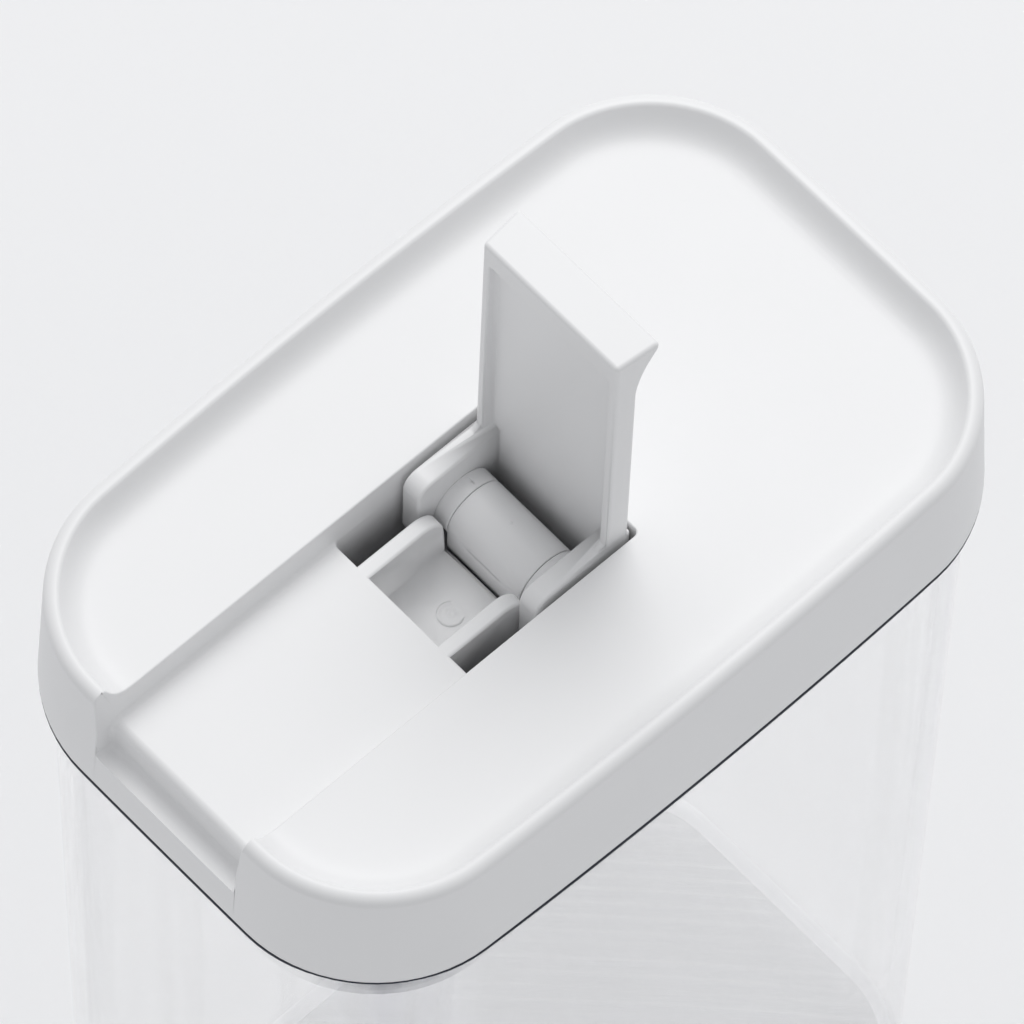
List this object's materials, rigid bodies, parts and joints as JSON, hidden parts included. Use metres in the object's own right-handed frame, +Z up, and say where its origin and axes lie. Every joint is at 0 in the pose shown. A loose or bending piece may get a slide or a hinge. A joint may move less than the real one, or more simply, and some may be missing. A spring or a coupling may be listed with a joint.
{
  "type": "lidded canister",
  "caption": "Tall clear canister, rounded oblong in plan, with a white dished lid. A folding lever in the lid squeezes an inner silicone ring against the wall.",
  "frame": {"origin": "centre of the base, on the surface it stands on", "axes": "+Z up, +X along the short side, -Y towards the open end of the lever's channel"},
  "size_m": [0.1, 0.1574, 0.3075],
  "materials": {
    "clear_glass": "clear and smooth, with a faint cool tint",
    "white_plastic": "satin moulded white",
    "liner_plastic": "satin moulded off-white",
    "dark_seal": "dull slate-coloured rubber",
    "silicone": "pale translucent silicone",
    "steel": "plain stainless"
  },
  "bodies": {
    "canister": {"glass_body": "clear_glass"},
    "lid": {"lid_cover": "white_plastic", "skirt_seal": "dark_seal", "lid_liner": "liner_plastic", "liner_screws": "steel", "hinge_bush_left": "liner_plastic", "hinge_bush_right": "liner_plastic", "stem_seal": "dark_seal", "plug_seal": "silicone"},
    "lever": {"lever": "white_plastic", "cam_left": "white_plastic", "cam_right": "white_plastic", "hinge_pin": "steel"},
    "plate": {"drum": "white_plastic", "stem": "liner_plastic", "pressing_plate": "liner_plastic", "stem_washer": "steel", "stem_screw": "steel", "screw_cover": "silicone"}
  },
  "joints": [
    {"name": "lid_lift", "type": "slide", "parent": "canister", "child": "lid", "axis": [0, 0, 1], "range_m": [0, 0.08]},
    {"name": "lever_fold", "type": "hinge", "parent": "lid", "child": "lever", "pos_m": [0, -0.0009, 0.2347], "axis": [1, 0, 0], "range_deg": [0, 90]},
    {"name": "plate_lift", "type": "slide", "parent": "lid", "child": "plate", "axis": [0, 0, 1], "range_m": [0, 0.002], "deforming": ["plug_seal"]}
  ],
  "couplings": [
    {"joint": "plate_lift", "follows": "lever_fold", "m_per_rad": 0.0012732}
  ]
}
